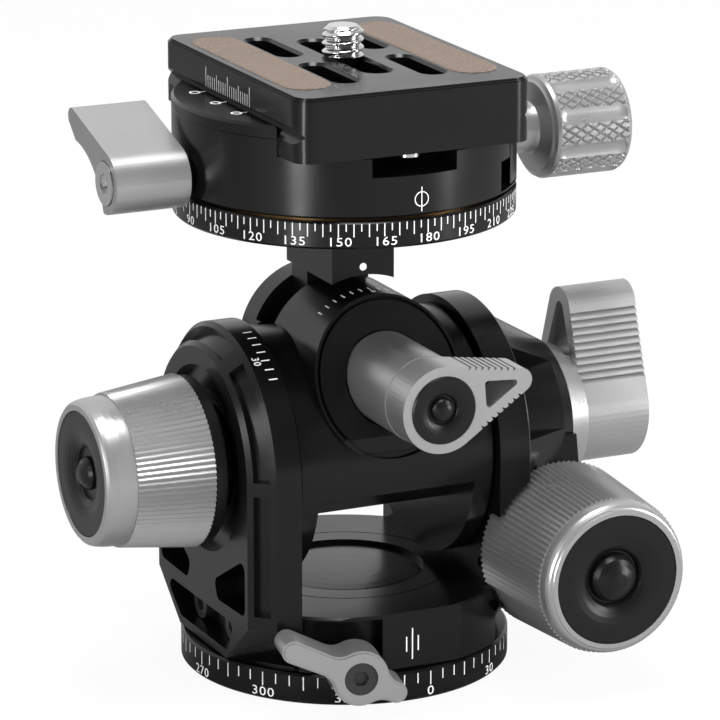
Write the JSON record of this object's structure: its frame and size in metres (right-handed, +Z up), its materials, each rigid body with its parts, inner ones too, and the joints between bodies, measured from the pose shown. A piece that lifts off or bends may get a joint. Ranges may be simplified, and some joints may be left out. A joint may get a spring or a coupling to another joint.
{
  "type": "geared tripod head",
  "caption": "Geared tripod head: panning base, two worm-driven tilt axes with knobs and lock levers, and a panning clamp with a quick-release plate and camera screw",
  "frame": {"origin": "centre of the base dial's underside, on the lower pan axis and at the mouth of the tripod thread", "axes": "+Z up along the pan axes, -Y is the front with the base lock lever, +X is the side of the front tilt's worm drive; front tilt axis along X, side tilt axis along Y"},
  "size_m": [0.0925, 0.0632, 0.0989],
  "materials": {
    "black_anodised": "black anodised, satin",
    "silver_anodised": "satin silver anodised",
    "steel": "turned and polished steel",
    "dark_steel": "blackened steel",
    "bronze": "turned bronze",
    "black_plastic": "moulded black plastic",
    "pad": "fine checkered grip rubber"
  },
  "bodies": {
    "base": {"base_dial": "black_anodised", "base_spindle": "steel", "base_screws": "dark_steel", "retaining_ring": "steel", "retaining_screws": "dark_steel", "thrust_washer": "bronze"},
    "frame": {"base_table": "black_anodised", "table_cap": "black_anodised", "brake_shoe": "bronze", "left_arm": "black_anodised", "right_arm": "black_anodised", "arm_screws": "dark_steel", "left_bush": "bronze", "right_bush": "bronze", "gear_housing": "black_anodised", "housing_screws": "dark_steel", "worm_bushes": "bronze"},
    "base_lock": {"base_lever": "silver_anodised", "base_lever_bolt": "dark_steel"},
    "tilt": {"tilt_housing": "black_anodised", "tilt_front_cover": "black_anodised", "tilt_rear_cover": "black_anodised", "left_trunnion": "steel", "right_trunnion": "steel", "front_worm_wheel": "bronze", "side_worm_bushes": "bronze"},
    "front_drive": {"front_knob": "silver_anodised", "front_knob_cap": "black_plastic", "front_worm": "steel"},
    "front_tilt_lock": {"right_lever": "silver_anodised", "right_lever_stud": "steel"},
    "side_drive": {"left_knob": "silver_anodised", "left_knob_cap": "black_plastic", "left_knob_collar": "black_plastic", "side_worm": "steel"},
    "head_mount": {"neck": "black_anodised", "side_worm_wheel": "bronze", "side_axle": "steel", "upper_dial": "black_anodised", "head_washer": "bronze", "head_spindle": "steel", "head_retainer": "steel", "head_screws": "dark_steel"},
    "side_tilt_lock": {"side_lever": "silver_anodised", "side_lever_sleeve": "black_anodised", "side_lever_cap": "black_plastic"},
    "clamp": {"clamp_drum": "black_anodised", "drum_cap": "black_anodised", "guide_pins": "steel", "pan_brake": "bronze"},
    "jaw": {"clamp_jaw": "black_anodised"},
    "jaw_drive": {"clamp_knob": "silver_anodised", "clamp_screw": "steel"},
    "pan_lock": {"pan_lever": "silver_anodised", "pan_lever_screw": "steel"},
    "plate": {"dovetail_plate": "black_anodised", "grip_pads": "pad", "stop_pins": "steel"},
    "camera_bolt": {"camera_washer": "black_plastic", "camera_screw": "steel"}
  },
  "joints": [
    {"name": "base_pan", "type": "hinge", "parent": "base", "child": "frame", "pos_m": [0, 0, 0.005], "axis": [0, 0, 1], "continuous": true},
    {"name": "base_lock_turn", "type": "hinge", "parent": "frame", "child": "base_lock", "pos_m": [-0.01, -0.02446, 0.0066], "axis": [-0.2079, -0.9781, 0], "range_deg": [-20, 45]},
    {"name": "front_tilt", "type": "hinge", "parent": "frame", "child": "tilt", "pos_m": [0, 0, 0.0343], "axis": [1, 0, 0], "range_deg": [-20, 30]},
    {"name": "front_drive_turn", "type": "hinge", "parent": "frame", "child": "front_drive", "pos_m": [0.0283, 0, 0.0184], "axis": [0, 1, 0], "range_deg": [-960, 640]},
    {"name": "front_tilt_lock_turn", "type": "hinge", "parent": "frame", "child": "front_tilt_lock", "pos_m": [0.04, 0, 0.0343], "axis": [1, 0, 0], "range_deg": [0, 60]},
    {"name": "side_tilt", "type": "hinge", "parent": "tilt", "child": "head_mount", "pos_m": [0, 0, 0.048], "axis": [0, 1, 0], "range_deg": [-18, 18]},
    {"name": "side_drive_turn", "type": "hinge", "parent": "tilt", "child": "side_drive", "pos_m": [-0.03, 0, 0.0343], "axis": [1, 0, 0], "range_deg": [-504, 504]},
    {"name": "side_tilt_lock_turn", "type": "hinge", "parent": "tilt", "child": "side_tilt_lock", "pos_m": [0, -0.03, 0.048], "axis": [0, -1, 0], "range_deg": [0, 60]},
    {"name": "clamp_pan", "type": "hinge", "parent": "head_mount", "child": "clamp", "pos_m": [0, 0, 0.075], "axis": [0, 0, 1], "continuous": true},
    {"name": "pan_lock_turn", "type": "hinge", "parent": "clamp", "child": "pan_lock", "pos_m": [-0.03, 0, 0.07845], "axis": [1, 0, 0], "range_deg": [-15, 20]},
    {"name": "jaw_slide", "type": "slide", "parent": "clamp", "child": "jaw", "axis": [1, 0, 0], "range_m": [0, 0.002]},
    {"name": "clamp_knob_turn", "type": "hinge", "parent": "jaw", "child": "jaw_drive", "pos_m": [0.04, 0, 0.0802], "axis": [1, 0, 0], "range_deg": [0, 720]},
    {"name": "plate_slide", "type": "slide", "parent": "clamp", "child": "plate", "axis": [0, 1, 0], "range_m": [-0.01, 0.01]},
    {"name": "camera_bolt_turn", "type": "hinge", "parent": "plate", "child": "camera_bolt", "pos_m": [0, 0.0005, 0.09415], "axis": [0, 0, 1], "continuous": true}
  ],
  "couplings": [
    {"joint": "front_drive_turn", "follows": "front_tilt", "ratio": -32},
    {"joint": "side_drive_turn", "follows": "side_tilt", "ratio": 28},
    {"joint": "clamp_knob_turn", "follows": "jaw_slide", "rad_per_m": 6283.2}
  ]
}
